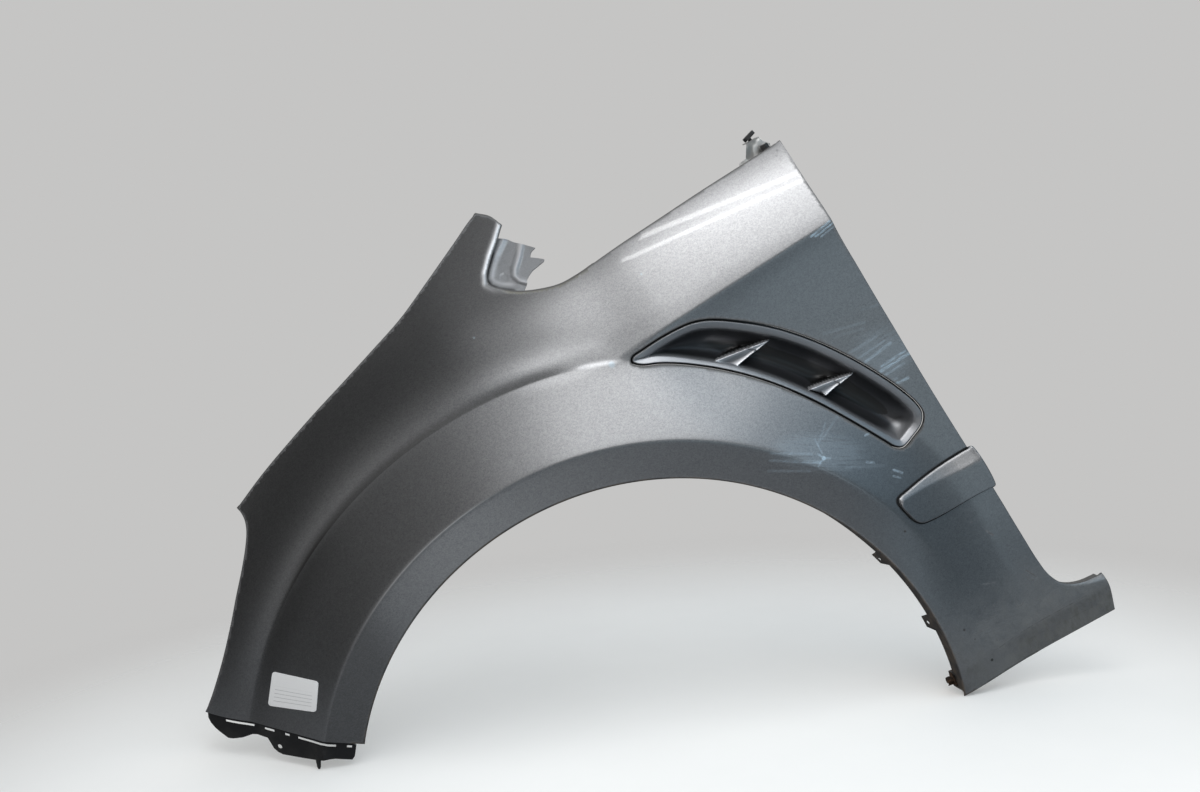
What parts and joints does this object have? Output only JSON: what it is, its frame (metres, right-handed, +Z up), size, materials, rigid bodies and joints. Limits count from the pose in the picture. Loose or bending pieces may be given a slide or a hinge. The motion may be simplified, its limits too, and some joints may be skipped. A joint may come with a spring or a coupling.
{
  "type": "car fender",
  "caption": "Left front car fender with a wheel arch flare, an oval side vent with fins, a side moulding and small fixing brackets.",
  "frame": {"origin": "on the underside of the sill flange, between its two fixing holes", "axes": "+X to the rear of the car, -Y out of the car's left side, +Z up, as the fender sits on the car"},
  "size_m": [1.0585, 0.2539, 0.804],
  "materials": {
    "silver_paint": "silver metallic clearcoat",
    "grey_grille": "grey metallic paint on plastic",
    "silver_plastic": "body-coloured plastic",
    "black_plastic": "grained black plastic",
    "bare_metal": "zinc plated",
    "rusty_steel": "rusty spring steel"
  },
  "bodies": {
    "root": {"fender_panel": "silver_paint", "vent_grille": "grey_grille", "side_moulding": "silver_plastic", "bumper_bracket": "black_plastic", "notch_bracket": "silver_paint", "rear_top_bracket": "bare_metal", "bracket_bolt": "bare_metal", "retainer_clip": "black_plastic", "arch_spring_nut": "rusty_steel"}
  },
  "joints": []
}
